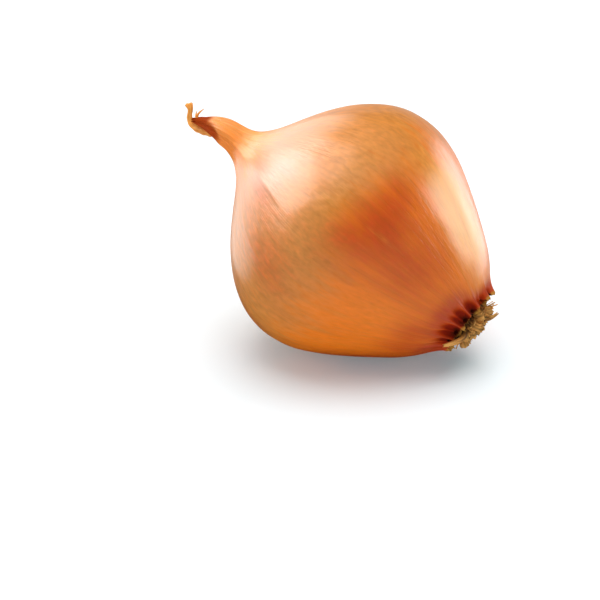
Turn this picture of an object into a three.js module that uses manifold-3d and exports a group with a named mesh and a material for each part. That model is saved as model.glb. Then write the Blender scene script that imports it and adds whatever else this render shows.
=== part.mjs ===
// A whole yellow onion lying on its side. It is two pieces: the bulb in its dry skin, which
// closes in a withered neck, and the root plate with its trimmed, dried roots, which sits in
// the hollow at the bulb's foot. Millimetres, +Z up. The origin is the middle of the small
// flat spot that the onion rests on. The neck points to -X and up.
import * as THREE from "three";
import { mergeVertices } from "three/addons/utils/BufferGeometryUtils.js";
import Module from "manifold-3d";

const wasm = await Module();
wasm.setup();

// Driving dimensions.
const EQUATOR_RADIUS = 38;
const BULB_HEIGHT = 80; // root plate to the foot of the neck, along the onion's axis
const NECK_END = 95.6; // where the withered neck closes, along the same axis
const TILT = THREE.MathUtils.degToRad(31.5); // how far the axis rises from the surface
const FLAT_DEPTH = 0.4; // how far the resting spot is pressed flat

// The bulb's outline: share of the bulb's height, share of the equator's radius.
const OUTLINE = [
  [-0.035, 0.298], // edge of the skin round the root plate
  [0.0, 0.335],
  [0.05, 0.443],
  [0.144, 0.608],
  [0.289, 0.816], // flank that the onion rests on
  [0.43, 0.964],
  [0.53, 1.0], // equator
  [0.625, 0.972],
  [0.72, 0.868],
  [0.81, 0.69], // shoulder
  [0.885, 0.47],
  [0.945, 0.27],
  [1.0, 0.148], // foot of the neck
  [1.09, 0.096],
  [1.155, 0.06],
  [1.2, 0.022],
];

// The skin's pleats round the root plate.
const PLEATS = 15;
const STEPS_PER_PLEAT = 6;
const PLEAT_DEPTH = 1.5;
const PLEAT_FADE = 3.6; // height over which a pleat dies out by a factor e
const TONGUE_LENGTH = 2.0; // how far the middle of a pleat hangs past its sides
const RIM_THICKNESS = 1.0;

// The skin's broad ribs, the folds of the neck, and the crease on the shoulder.
const RIB_HEIGHT = 0.14;
const OVAL = 0.008;
const NECK_FOLDS = 5;
const NECK_FOLD_DEPTH = 0.17; // share of the neck's radius
const NECK_DROOP = 3.2;
const DROOP_START = 83;
const CREASE_ANGLE = THREE.MathUtils.degToRad(70);
const CREASE_HEIGHT = 0.45;
const CREASE_MIDDLE = 66;

// The hollow for the root plate, and the roots.
const HOLLOW_DEPTH = 3.2;
const HOLLOW_RADIUS = 7.7;
const PLATE_GAP = 0.4;
const PLATE_DOME = 1.9;
const ROOTS = 58;
const ROOT_RADIUS = 0.68;

// A number from 0 to 1 that only depends on its seed.
function chance(seed) {
  const wave = Math.sin(seed * 12.9898 + 4.1) * 43758.5453;
  return wave - Math.floor(wave);
}

function smooth(low, high, x) {
  return THREE.MathUtils.smoothstep(x, low, high);
}

// The natural cubic spline through the points: a smooth curve with no kink in its curvature.
function spline(points) {
  const n = points.length;
  const x = points.map((p) => p[0]);
  const y = points.map((p) => p[1]);
  const bend = new Array(n).fill(0);
  const share = new Array(n).fill(0);
  for (let i = 1; i < n - 1; i++) {
    const before = x[i] - x[i - 1];
    const after = x[i + 1] - x[i];
    const pivot = 2 * (before + after) - before * share[i - 1];
    share[i] = after / pivot;
    const rise = (y[i + 1] - y[i]) / after - (y[i] - y[i - 1]) / before;
    bend[i] = (6 * rise - before * bend[i - 1]) / pivot;
  }
  for (let i = n - 2; i > 0; i--) bend[i] -= share[i] * bend[i + 1];
  return (at) => {
    let i = 0;
    while (i < n - 2 && at > x[i + 1]) i++;
    const h = x[i + 1] - x[i];
    const a = (x[i + 1] - at) / h;
    const b = (at - x[i]) / h;
    const curl = ((a ** 3 - a) * bend[i] + (b ** 3 - b) * bend[i + 1]) * (h * h) / 6;
    return a * y[i] + b * y[i + 1] + curl;
  };
}

const outlineRadius = spline(OUTLINE.map(([t, r]) => [t * BULB_HEIGHT, r * EQUATOR_RADIUS]));

// The withered neck hangs down a little from the axis.
function droop(height) {
  const along = Math.max(0, (height - DROOP_START) / (NECK_END - DROOP_START));
  return { rise: -NECK_DROOP * along ** 2, slope: (-2 * NECK_DROOP * along) / (NECK_END - DROOP_START) };
}

// A point of the onion's own frame: height along the axis, then sideways and up from it.
// turn 0 is the upper side, and a quarter turn is the side that faces -Y.
function pointAt(height, radius, turn) {
  const { rise, slope } = droop(height);
  const lean = Math.atan(slope);
  const up = radius * Math.cos(turn);
  const side = radius * Math.sin(turn);
  return new THREE.Vector3(height - up * Math.sin(lean), side, rise + up * Math.cos(lean));
}

// Where a share of the way round the skin lies: the pleats are not all of one width.
function turnOf(share) {
  return share + 0.07 * Math.sin(2 * share + 1) + 0.03 * Math.sin(5 * share);
}

// How deep the pleat is at this share of the way round, from 0 at its crests to about 1.
function pleat(share) {
  const phase = (share * PLEATS) / (2 * Math.PI);
  const depth = 0.65 + 0.5 * chance(Math.floor(phase + 1e-6) + 1);
  return depth * Math.abs(Math.sin(Math.PI * phase));
}

// The edge of the skin round the root plate: each pleat ends in its own tongue.
function rimHeight(share) {
  const phase = (share * PLEATS) / (2 * Math.PI);
  const length = 0.5 + 0.8 * chance(Math.floor(phase + 1e-6) + 31);
  return -0.5 - TONGUE_LENGTH * length * Math.abs(Math.sin(Math.PI * phase)) ** 1.5;
}

function skinRadius(height, share) {
  const turn = turnOf(share);
  const base = outlineRadius(height) * (1 + OVAL * Math.cos(2 * turn + 0.6));
  const pleated = PLEAT_DEPTH * pleat(share) * Math.exp(-Math.max(0, height) / PLEAT_FADE);
  const ribbed = smooth(6, 16, height) * (1 - smooth(66, 76, height));
  const rib = RIB_HEIGHT * ribbed * Math.cos(PLEATS * share + 2 * Math.sin(2 * share));
  const fold = NECK_FOLD_DEPTH * smooth(72, 88, height);
  const twist = 0.035 * (height - BULB_HEIGHT);
  const wave = 0.6 * Math.cos(NECK_FOLDS * (turn + twist)) + 0.4 * Math.cos(3 * turn - 2 * twist + 1);
  const along = Math.exp(-(((height - CREASE_MIDDLE) / 7) ** 2));
  const across = ((turn - CREASE_ANGLE) * outlineRadius(height)) / 1.8;
  const crease = CREASE_HEIGHT * along * Math.exp(-(across ** 2));
  return base * (1 + fold * wave) - pleated + rib + crease;
}

function solidOf(geometry) {
  const bare = geometry.clone();
  bare.deleteAttribute("normal");
  bare.deleteAttribute("uv");
  const merged = mergeVertices(bare, 1e-4);
  return new wasm.Manifold(
    new wasm.Mesh({
      numProp: 3,
      vertProperties: merged.attributes.position.array,
      triVerts: merged.index.array,
    }),
  );
}

function geometryOf(solid) {
  const mesh = solid.getMesh();
  return new THREE.BufferGeometry()
    .setAttribute("position", new THREE.BufferAttribute(mesh.vertProperties, 3))
    .setIndex(new THREE.BufferAttribute(mesh.triVerts, 1));
}

// A closed surface through rings of points, with a single point at each end.
function skinned(first, rings, last) {
  const sides = rings[0].length;
  const points = [first, ...rings.flat(), last];
  const faces = [];
  for (let j = 0; j < sides; j++) {
    const next = (j + 1) % sides;
    faces.push(0, 1 + next, 1 + j);
    for (let i = 0; i < rings.length - 1; i++) {
      const a = 1 + i * sides;
      const b = a + sides;
      faces.push(a + j, a + next, b + j, a + next, b + next, b + j);
    }
    const top = 1 + (rings.length - 1) * sides;
    faces.push(top + j, top + next, points.length - 1);
  }
  const geometry = new THREE.BufferGeometry().setFromPoints(points);
  return geometry.setIndex(faces);
}

// A tapering round strand along a curve, a little flattened if flat is under 1.
function strand(points, startRadius, endRadius, sides, steps, flat = 1) {
  const curve = new THREE.CatmullRomCurve3(points);
  const frames = curve.computeFrenetFrames(steps, false);
  const rings = [];
  for (let i = 0; i <= steps; i++) {
    const centre = curve.getPointAt(i / steps);
    const radius = THREE.MathUtils.lerp(startRadius, endRadius, i / steps);
    rings.push(
      Array.from({ length: sides }, (_, j) => {
        const angle = (2 * Math.PI * j) / sides;
        return centre
          .clone()
          .addScaledVector(frames.normals[i], radius * Math.cos(angle))
          .addScaledVector(frames.binormals[i], radius * flat * Math.sin(angle));
      }),
    );
  }
  return skinned(curve.getPointAt(0), rings, curve.getPointAt(1));
}

// The bulb, in the onion's own frame: from the hollow's floor over the rim to the neck's end.
function makeBulb() {
  const sides = PLEATS * STEPS_PER_PLEAT;
  // The rings run against the turn, so that the faces point out.
  const shares = Array.from({ length: sides }, (_, j) => (2 * Math.PI * (sides - j)) / sides);
  const ring = (height, radius) =>
    shares.map((share) => pointAt(height(share), radius(share), turnOf(share)));

  const rimRadius = (share) => skinRadius(rimHeight(share), share);
  const rings = [
    ring(() => HOLLOW_DEPTH, () => HOLLOW_RADIUS),
    ring((share) => rimHeight(share) + 0.2, (share) => rimRadius(share) - RIM_THICKNESS),
    ring(rimHeight, rimRadius),
  ];
  // Bands of the skin, from one height to the next, in so many rings.
  const bands = [
    [-0.5, 5, 4],
    [5, 59, 12],
    [59, 80, 9],
    [80, NECK_END, 7],
  ];
  for (const [from, to, count] of bands) {
    for (let i = 1; i <= count; i++) {
      const height = THREE.MathUtils.lerp(from, to, i / count);
      rings.push(ring(() => height, (share) => skinRadius(height, share)));
    }
  }
  const body = skinned(pointAt(HOLLOW_DEPTH, 0, 0), rings, pointAt(NECK_END + 0.6, 0, 0));
  return solidOf(body);
}

// The dried leaf ends at the neck: one hooks upwards and two short ones stand up beside it.
function makeWisps() {
  const at = (height, rise, side) => new THREE.Vector3(height, side, rise);
  const hook = [
    at(90, -1.2, 0),
    at(93.6, -2.7, 0),
    at(96.2, -3.6, 0.1),
    at(98.1, -3.2, 0.2),
    at(98.7, -2.0, 0.1),
    at(99.3, -1.2, -0.3),
    at(100.9, -1.2, -0.9),
  ];
  const spur = [at(94, -2.0, 0.4), at(95.6, -0.9, 0.5), at(95.9, 0.4, 0.8), at(95.6, 1.6, 1.2)];
  const stub = [at(94.4, -2.2, -0.5), at(96.3, -1.3, -0.6), at(97.0, -0.3, -0.9)];
  return [
    solidOf(strand(hook, 1.35, 0.45, 8, 16, 0.8)),
    solidOf(strand(spur, 0.6, 0.32, 5, 5)),
    solidOf(strand(stub, 0.65, 0.32, 5, 4)),
  ];
}

// The root plate: a thick round disc, domed outwards, that fills the bulb's hollow.
function makePlate() {
  const radius = HOLLOW_RADIUS - PLATE_GAP;
  const floor = -(HOLLOW_DEPTH - PLATE_GAP);
  const profile = [
    new THREE.Vector2(0, floor),
    new THREE.Vector2(radius * 0.96, floor),
    new THREE.Vector2(radius, 0.3),
  ];
  for (let i = 1; i <= 4; i++) {
    const angle = (i / 4) * (Math.PI / 2);
    const out = i < 4 ? radius * Math.cos(angle) : 0;
    profile.push(new THREE.Vector2(out, 0.3 + PLATE_DOME * Math.sin(angle)));
  }
  const lathe = new THREE.LatheGeometry(profile, 30);
  // The lathe turns about Y, and its Y is outwards from the foot: minus the onion's axis.
  return solidOf(lathe.rotateZ(Math.PI / 2));
}

// One dried root: out of the plate, past the skin's edge, then leaning its own way.
function makeRoot(index) {
  const golden = Math.PI * (3 - Math.sqrt(5));
  const reach = Math.sqrt((index + 0.5) / ROOTS);
  const turn = index * golden;
  const radius = (HOLLOW_RADIUS - PLATE_GAP - 1.0) * reach;
  // From 0 on the upper side to 1 underneath, where the roots are shorter and more upright.
  const under = 0.5 - 0.5 * Math.cos(turn);
  const length = (2.2 + 2.6 * chance(index + 101) ** 3 - 0.7 * reach) * (1 - 0.25 * under);
  const lean = (1.9 - 1.5 * under) * reach ** 2 + 1.5 * (chance(index + 201) - 0.4);
  const bend = turn + 1.1 * (chance(index + 301) - 0.5);
  const sway = 1.6 * (chance(index + 401) - 0.5);
  const at = (height, out, angle) =>
    new THREE.Vector3(height, out * Math.sin(angle), out * Math.cos(angle));
  const points = [at(0.6, radius, turn), at(-2.6, radius, turn)];
  const tip = at(-2.6 - length * 0.55, radius, turn);
  tip.y += lean * 0.6 * Math.sin(bend);
  tip.z += lean * 0.6 * Math.cos(bend);
  points.push(tip.clone());
  tip.x -= length * 0.35;
  tip.y += lean * 0.6 * Math.sin(bend) + sway * Math.cos(bend);
  tip.z += lean * 0.6 * Math.cos(bend) - sway * Math.sin(bend);
  points.push(tip);
  const thick = ROOT_RADIUS * (0.8 + 0.55 * chance(index + 501));
  return solidOf(strand(points, thick, thick * 0.62, 5, 4, 0.8));
}

// Turns and moves the onion's own frame so that it rests on its flank at the origin.
function restingPlace() {
  const slope = (t) => (outlineRadius(t + 0.01) - outlineRadius(t - 0.01)) / 0.02;
  let contact = 0.4 * BULB_HEIGHT;
  while (slope(contact) < Math.tan(TILT)) contact -= 0.01;
  const radius = outlineRadius(contact) * (1 + OVAL * Math.cos(2 * Math.PI + 0.6));
  const turned = new THREE.Matrix4().makeBasis(
    new THREE.Vector3(-Math.cos(TILT), 0, Math.sin(TILT)),
    new THREE.Vector3(0, -1, 0),
    new THREE.Vector3(Math.sin(TILT), 0, Math.cos(TILT)),
  );
  const low = new THREE.Vector3(contact, 0, -radius).applyMatrix4(turned);
  return new THREE.Matrix4().makeTranslation(-low.x, 0, -low.z - FLAT_DEPTH).multiply(turned);
}

const place = restingPlace();
function placed(solid) {
  return solidOf(geometryOf(solid).applyMatrix4(place));
}

function underfoot() {
  const depth = 4;
  return solidOf(new THREE.BoxGeometry(120, 120, depth).translate(0, 0, -depth / 2));
}

const bulb = placed(makeWisps().reduce((whole, wisp) => whole.add(wisp), makeBulb()));
const roots = placed(
  Array.from({ length: ROOTS }, (_, index) => makeRoot(index)).reduce(
    (whole, root) => whole.add(root),
    makePlate(),
  ),
);

const skinMaterial = new THREE.MeshStandardMaterial({
  color: 0xd0752c,
  roughness: 0.42,
  metalness: 0,
});
const rootMaterial = new THREE.MeshStandardMaterial({
  color: 0x9b7434,
  roughness: 0.9,
  metalness: 0,
});

function named(name, solid, material) {
  const mesh = new THREE.Mesh(geometryOf(solid), material);
  mesh.name = name;
  return mesh;
}

const onion = new THREE.Group();
onion.add(named("bulb", bulb.subtract(underfoot()), skinMaterial));
onion.add(named("root_plate", roots, rootMaterial));

export default onion;
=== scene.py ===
# A whole yellow onion that lies on its side. It has a dry skin with pleats round the root plate
# and a withered neck, dried leaf ends at the neck, an inner layer of skin at the foot, and the
# root plate with its trimmed roots. Shapes are worked out in millimetres in the onion's own
# frame, and the pieces are metres in the row frame, where the solids of the frame are.
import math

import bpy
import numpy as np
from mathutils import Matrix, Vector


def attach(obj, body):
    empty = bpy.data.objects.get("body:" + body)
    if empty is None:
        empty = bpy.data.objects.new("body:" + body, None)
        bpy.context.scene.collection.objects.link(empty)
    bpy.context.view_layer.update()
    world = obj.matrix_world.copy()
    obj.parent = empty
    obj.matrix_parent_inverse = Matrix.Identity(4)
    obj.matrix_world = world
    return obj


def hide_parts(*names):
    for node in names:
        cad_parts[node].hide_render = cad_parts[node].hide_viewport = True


bl_info = {
    "name": "Whole onion",
    "version": (1, 0, 0),
    "blender": (4, 5, 0),
    "location": "3D View > Sidebar > Onion",
    "description": "Builds a whole yellow onion in its dry skin, and a studio stage for it",
    "category": "Add Mesh",
}

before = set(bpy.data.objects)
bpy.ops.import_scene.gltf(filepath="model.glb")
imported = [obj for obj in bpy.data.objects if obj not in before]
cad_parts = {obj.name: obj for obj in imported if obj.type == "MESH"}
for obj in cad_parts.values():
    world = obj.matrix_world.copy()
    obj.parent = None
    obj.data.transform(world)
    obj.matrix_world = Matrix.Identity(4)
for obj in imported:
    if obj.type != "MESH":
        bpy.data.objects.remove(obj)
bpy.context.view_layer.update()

MM = 0.001

# The onion's driving sizes, in millimetres along and across its own axis.
EQUATOR_RADIUS = 38.0
BULB_HEIGHT = 80.0  # root plate to the foot of the neck
NECK_END = 95.6
TILT = math.radians(31.5)  # how far the axis rises from the surface
FLAT_DEPTH = 0.4

# The bulb's outline: share of the bulb's height, share of the equator's radius.
OUTLINE = (
    (-0.035, 0.298), (0.0, 0.335), (0.05, 0.443), (0.144, 0.608),
    (0.289, 0.816), (0.43, 0.964), (0.53, 1.0), (0.625, 0.972),
    (0.72, 0.868), (0.81, 0.69), (0.885, 0.47), (0.945, 0.27),
    (1.0, 0.148), (1.09, 0.096), (1.155, 0.06), (1.2, 0.022),
)

# The pleats round the root plate.
PLEATS = 15
PLEAT_FADE = 3.2  # about a third of a pleat's depth is left at this height
PLEAT_ROUND = 1.6  # above 1, the pleats stay deep near the rim and then end soon
RIM_THICKNESS = 0.42
UNDERSIDE = math.radians(145)
TAPER = 1.1  # how much closer to the axis the rim is on its underside

# How uneven the bulb is: its oval shape as a share, how far its relief rises, and how many
# waves its dents are made of.
OVAL = 0.008
RIB_HEIGHT = 0.05
BULGE = 0.16
DENT = 0.022
DENT_WAVES = 5

# The withered neck: its folds, how far its end hangs down, and where its fold with painted shade is.
NECK_FOLDS = 5
NECK_FOLD_DEPTH = 0.17
NECK_DROOP = 3.2
DROOP_START = 83.0
FOLD_SIDE = math.radians(112)

# The creases on the shoulder: turn in degrees, middle height, half length, how far they rise.
CREASES = (
    (69.5, 66, 6, 0.62), (47, 67, 6, 0.16), (24, 70, 6, 0.14), (98, 61, 8, 0.2),
    (165, 66, 8, 0.3), (232, 68, 7, 0.25), (310, 65, 8, 0.3),
)

# Where the skin is redder, a duller tan, a lighter gold or has a dusty pink bloom: height, turn
# in degrees, half length, half width, strength. A few of them are painted shade or a painted
# highlight, as marked.
PATCHES = {
    # Red: the one 65.5 high is painted shadow in the shoulder's crease, and the one 15 high at 150
    # degrees is painted shade along the underside.
    "blush": (
        (33, 50, 9, 13, 1.0), (18, 50, 10, 11, 0.75), (41, 60, 5, 8, 0.35),
        (35, 32, 6, 7, 0.35), (67, 60, 9, 9, 0.2), (65.5, 75.5, 5, 1.6, 0.2),
        (8, 99, 6.5, 9, 0.85), (4.5, 62, 3, 8, 0.7), (15, 150, 13, 10, 1.0),
        (34, 215, 14, 11, 0.9), (24, 300, 10, 9, 0.8), (48, 150, 9, 9, 0.6),
        (50, 100, 11, 11, 0.35),
    ),
    # Tan: the one 49 high is painted shade between the two highlights.
    "dull": (
        (49, 44, 5, 15, 1.0), (50, 190, 7, 13, 0.8), (34, 262, 7, 10, 0.7),
        (56, 330, 6, 10, 0.7),
    ),
    # Lighter gold: the one 18 high is partly a painted highlight, under the sheen on the right.
    "light": ((18, 6, 17, 9, 1.0), (30, 240, 12, 9, 0.6)),
    "bloom": ((65, 52, 9, 11, 1.0), (62, 250, 9, 10, 0.6)),
}

# The hollow for the root plate.
HOLLOW_DEPTH = 3.2
HOLLOW_RADIUS = 7.7
PLATE_GAP = 0.4
PLATE_DOME = 1.9
PLATE_COLUMNS = 72

# The next layer of skin, just inside the first one at the foot.
INNER_TONGUES = 13
COLUMNS_PER_TONGUE = 22
INNER_TOP = 2.0
INNER_GAP = 0.15  # between its upper edge and the wall of the hollow
INNER_THICKNESS = 0.3

# The dried leaf ends at the neck, through points of height, side and rise. One hooks upwards. The
# thin ones beside it also have a thickness at each end.
LEAF_HOOK = (
    (90.6, 0.3, -3.0), (92.6, 0.3, -4.1), (94.4, 0.3, -4.9), (96.2, 0.3, -5.2),
    (97.8, 0.3, -4.7), (98.9, 0.2, -3.2), (99.7, 0.0, -1.6), (100.9, -0.6, -1.0),
)
LEAF_SPURS = (
    ((95.2, 0.2, -3.4), (96.8, 0.0, -2.4), (96.9, -0.2, -0.7), (96.4, -0.5, 1.1), 0.62, 0.1),
    ((95.6, -0.1, -3.2), (97.0, -0.2, -2.6), (97.5, -0.4, -1.9), (97.9, -0.6, -1.2), 0.5, 0.12),
)

# Steps along the hook, along each spur and combed clump, and along each other clump and root.
HOOK_STEPS = 70
BEND_STEPS = 22
ROOT_STEPS = 16

# Combed clumps of roots that stand out, through points of height, distance from the axis and turn
# in degrees, then their thickness.
COMBED_CLUMPS = (
    ((-1.8, 5.6, 84), (-2.9, 7.6, 90), (-2.7, 10.2, 93), (-1.8, 12.6, 95), (-0.8, 14.2, 97), 1.6),
    ((-1.8, 5.4, 94), (-2.9, 7.2, 94), (-3.0, 8.8, 95), (-2.5, 10.4, 96), (-1.8, 11.8, 97), 1.2),
    ((-2.0, 5.2, 250), (-3.6, 6.6, 252), (-4.0, 8.6, 255), (-3.4, 10.8, 259), (-2.6, 12.2, 262), 1.4),
    ((-2.0, 4.4, 22), (-4.2, 5.0, 20), (-5.3, 5.8, 14), (-6.0, 6.8, 8), (-6.4, 8.0, 3), 0.85),
    ((-2.0, 6.0, 352), (-3.4, 6.6, 354), (-4.0, 7.4, 356), (-4.3, 8.4, 358), (-4.3, 9.2, 0), 0.5),
)

# How far from the axis the other clumps and the thin roots start, and the turn between two.
CLUMP_REACH = 5.9
ROOT_REACH = 6.7
GOLDEN_TURN = math.pi * (3 - math.sqrt(5))

# How finely the skin is meshed: points for each pleat, and bands of rings along the axis, each
# with its lower and upper height and its number of rings.
COLUMNS_PER_PLEAT = 30
SKIN_BANDS = ((1.5, 9.0, 26), (9.0, 60.0, 64), (60.0, 80.0, 40), (80.0, 94.0, 40))

# The rings that close the shrivelled end of the neck, and those of the small dent in it, which is
# painted dark as shade: height past the last band, share of the radius there.
MOUTH_RINGS = ((0.6, 0.92), (1.2, 0.82), (1.8, 0.7), (2.4, 0.56), (2.9, 0.4), (3.2, 0.24))
DENT_RINGS = ((2.9, 0.15), (2.4, 0.09), (2.2, 0.02))

# The soft lights: width and height in metres, azimuth and elevation in degrees, distance in metres
# from the lit point, and True for those that only give the sheen. The others give none.
LIGHTS = (
    ("overhead", 1.4, 1.4, 75, 82, 1.1, False),
    ("left_fill", 1.0, 0.8, 190, 30, 0.9, False),
    ("front_fill", 1.2, 0.8, 238, 4, 1.0, False),
    ("left_softbox", 0.64, 0.40, 185, 35, 0.62, True),
    ("left_glow", 0.44, 0.42, 144, 18, 0.6, True),
    ("low_card", 0.48, 0.34, 162, -10, 0.6, True),
    ("high_card", 0.50, 0.36, 190, 66, 0.62, True),
    ("right_softbox", 0.34, 0.26, 60, -2, 0.5, True),
    ("right_card", 0.16, 0.20, 32, 9, 0.6, True),
    ("rim_card", 0.72, 0.56, 95, -9, 0.6, True),
)
LIT_POINT = Vector((-0.005, 0, 0.035))
FLOOR_REACH = 3.0
FLOOR_GLOW = (0.57, 1, 1.12, 1)  # evens out the colour of the shadow
GLOW_STRENGTH = 0.16
SENSOR_WIDTH = 36  # of the camera, in millimetres
BUMP_DEPTH = 0.00015  # what a relief of 1 stands for in the materials, in metres


def from_srgb(red, green, blue):
    """A colour given in 0 to 255 as a linear one, for a colour property."""
    shares = [value / 255 for value in (red, green, blue)]
    linear = [s / 12.92 if s <= 0.04045 else ((s + 0.055) / 1.055) ** 2.4 for s in shares]
    return (*linear, 1.0)


def chance(seed):
    """A number from 0 to 1 that only depends on its seed, which may be an array."""
    wave = np.sin(np.asarray(seed, float) * 12.9898 + 4.1) * 43758.5453
    return wave - np.floor(wave)


def smooth(low, high, value):
    """0 below low, 1 above high, and a soft step between them."""
    share = np.clip((np.asarray(value, float) - low) / (high - low), 0, 1)
    return share * share * (3 - 2 * share)


def spline(points):
    """The natural cubic spline through the points, as a function of an array."""
    x = np.array([p[0] for p in points])
    y = np.array([p[1] for p in points])
    step = np.diff(x)
    system = np.eye(len(x))
    pull = np.zeros(len(x))
    for i in range(1, len(x) - 1):
        system[i, i - 1:i + 2] = step[i - 1], 2 * (step[i - 1] + step[i]), step[i]
        pull[i] = 6 * ((y[i + 1] - y[i]) / step[i] - (y[i] - y[i - 1]) / step[i - 1])
    bend = np.linalg.solve(system, pull)

    def curve(at):
        at = np.asarray(at, float)
        i = np.clip(np.searchsorted(x, at) - 1, 0, len(x) - 2)
        h = x[i + 1] - x[i]
        a = (x[i + 1] - at) / h
        b = (at - x[i]) / h
        curl = ((a**3 - a) * bend[i] + (b**3 - b) * bend[i + 1]) * h * h / 6
        return a * y[i] + b * y[i + 1] + curl

    return curve


outline_radius = spline([(t * BULB_HEIGHT, r * EQUATOR_RADIUS) for t, r in OUTLINE])


# The onion's own frame: height along the axis, then sideways and up from it. A turn of 0 is
# the upper side, and a quarter turn is the side that faces -Y.
def own_point(height, radius, turn):
    """Points of the onion's own frame. The neck's end hangs down a little from the axis."""
    along = np.maximum(0, (height - DROOP_START) / (NECK_END - DROOP_START))
    rise = -NECK_DROOP * along**2
    lean = np.arctan(-2 * NECK_DROOP * along / (NECK_END - DROOP_START))
    up = radius * np.cos(turn)
    side = radius * np.sin(turn)
    return np.stack([height - up * np.sin(lean), side, rise + up * np.cos(lean)], axis=-1)


def wrapped(angle):
    """The same angle between minus and plus half a turn."""
    return (angle + math.pi) % (2 * math.pi) - math.pi


def turn_of(share):
    """Where a share of the way round, in radians, lies: the pleats differ in width."""
    return share + 0.07 * np.sin(2 * share + 1) + 0.03 * np.sin(5 * share)


def turned(points):
    """Points of the onion's own frame, turned as the row frame is."""
    height, side, rise = np.moveaxis(np.asarray(points, float), -1, 0)
    x = -math.cos(TILT) * height + math.sin(TILT) * rise
    z = math.sin(TILT) * height + math.cos(TILT) * rise
    return np.stack([x, -side, z], axis=-1)


def lowest_point():
    """The point of the flank that the onion rests on, before it is pressed flat."""
    heights = np.arange(0.1 * BULB_HEIGHT, 0.4 * BULB_HEIGHT, 0.01)
    slopes = np.gradient(outline_radius(heights), heights)
    contact = heights[np.searchsorted(-slopes, -math.tan(TILT))]
    radius = outline_radius(contact) * (1 + OVAL * math.cos(0.6))
    return turned([contact, 0, -radius])


RESTING_POINT = lowest_point()


def placed(points):
    """Points of the onion's own frame in the row frame, in metres, pressed flat at the floor."""
    moved = turned(points) - RESTING_POINT * (1, 0, 1)
    moved[..., 2] = np.maximum(moved[..., 2] - FLAT_DEPTH, 0)
    return moved * MM


def pleat(share):
    """How deep the pleat is at this share of the way round: 0 at its crests, to about 1."""
    phase = share * PLEATS / (2 * math.pi)
    depth = 0.65 + 0.5 * chance(np.floor(phase + 1e-6) + 1)
    middle = np.floor(phase) + 0.5 + 0.24 * (chance(np.floor(phase + 1e-6) + 61) - 0.5)
    small = 0.5 * smooth(0.35, 0.6, chance(np.floor(phase + 1e-6) + 91))
    crest = small * np.exp(-(((phase - middle) / 0.09) ** 2))
    return depth * (np.abs(np.sin(math.pi * phase)) ** 0.7 - crest)


def rim_height(share, tongue_length):
    """The edge of the skin round the root plate: each crest ends in its own frayed tongue."""
    phase = share * PLEATS / (2 * math.pi)
    crest = np.cos(math.pi * phase) ** 2
    length = 0.45 + 0.75 * chance(np.floor(phase + 0.5) + 31)
    fray = 0.2 * np.sin(61 * share + 3) + 0.16 * np.sin(97 * share + 1) + 0.12 * np.sin(143 * share)
    return -0.2 - tongue_length * length * crest + fray * crest


def ripples(turn, height, seed, lowest, highest, count):
    """Irregular ribs along the skin: cosines of several whole numbers of waves round it."""
    total = 0
    for k in range(count):
        waves = round(lowest + (highest - lowest) * (k + float(chance(seed + k))) / count)
        phase = 2 * math.pi * float(chance(seed + 50 + k))
        drift = 1.4 * np.sin(height / (16 + 12 * float(chance(seed + 100 + k))) + phase)
        total = total + np.cos(waves * turn + phase + drift)
    return total / math.sqrt(count)


def skin_radius(height, share, sizes):
    """The skin's distance from the axis, with its pleats, ribs, folds and small unevenness."""
    turn = turn_of(share)
    base = outline_radius(height) * (1 + OVAL * np.cos(2 * turn + 0.6))
    pleated = sizes["pleat_depth"] * pleat(share) * pleat_fade(height, turn)
    ribbed = smooth(6, 16, height) * (1 - smooth(66, 76, height))
    uneven = 1 + 0.8 * np.sin(3 * share + 1)
    rib = RIB_HEIGHT * ribbed * uneven * np.cos(PLEATS * share + 2 * np.sin(2 * share))
    fold = NECK_FOLD_DEPTH * smooth(72, 88, height)
    twist = 0.035 * (height - BULB_HEIGHT)
    wave = 0.6 * np.cos(NECK_FOLDS * (turn + twist)) + 0.4 * np.cos(3 * turn - 2 * twist + 1)
    shrunk = 1 + fold * wave - 0.14 * shaded_fold(height, turn)
    under = np.exp(-((wrapped(turn - UNDERSIDE) / 0.6) ** 2))
    tapered = TAPER * under * np.exp(-np.maximum(height, -1) / 5)
    relief = creases(height, turn) + fine_relief(height, turn, sizes)
    return base * shrunk - pleated - tapered + rib + relief


def creases(height, turn):
    """Sharp creases on the shoulder, gentle towards smaller turns and steep towards larger."""
    total = 0
    for degrees, middle, long, rise in CREASES:
        across = wrapped(turn - math.radians(degrees)) * outline_radius(height)
        width = np.where(across > 0, 1.15, 3.4)
        fade = np.exp(-(((height - middle) / long) ** 2))
        total = total + rise * fade * np.exp(-np.abs(across) / width)
    return total


def shaded_fold(height, turn):
    """The fold along the front of the neck, wider towards its end, carved in and painted dark as
    shade: 0 to 1.
    """
    width = math.radians(16) + math.radians(60) * smooth(87, 92.5, height)
    away = np.abs(wrapped(turn - FOLD_SIDE)) / width
    return smooth(84.5, 90.5, height) * (1 - smooth(0.3, 1.5, away))


def patches(table, height, turn):
    """How strongly a kind of patch shows: soft spots on the skin."""
    total = 0
    for middle, degrees, long, wide, strength in table:
        around = wrapped(turn - math.radians(degrees)) * outline_radius(height)
        spot = ((height - middle) / long) ** 2 + (around / wide) ** 2
        total = total + strength * np.exp(-spot)
    return total


def off_top(turn):
    """0 on the upper side of the foot and 1 away from it, with a soft step between them."""
    return smooth(math.radians(30), math.radians(65), np.abs(wrapped(turn + 0.26)))


def pleat_fade(height, turn, reach=1.0):
    """How much of a pleat is left at this height: they end sooner on the upper side."""
    length = reach * PLEAT_FADE * (0.45 + 0.55 * off_top(turn))
    return np.exp(-((np.maximum(0, height) / length) ** PLEAT_ROUND))


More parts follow.
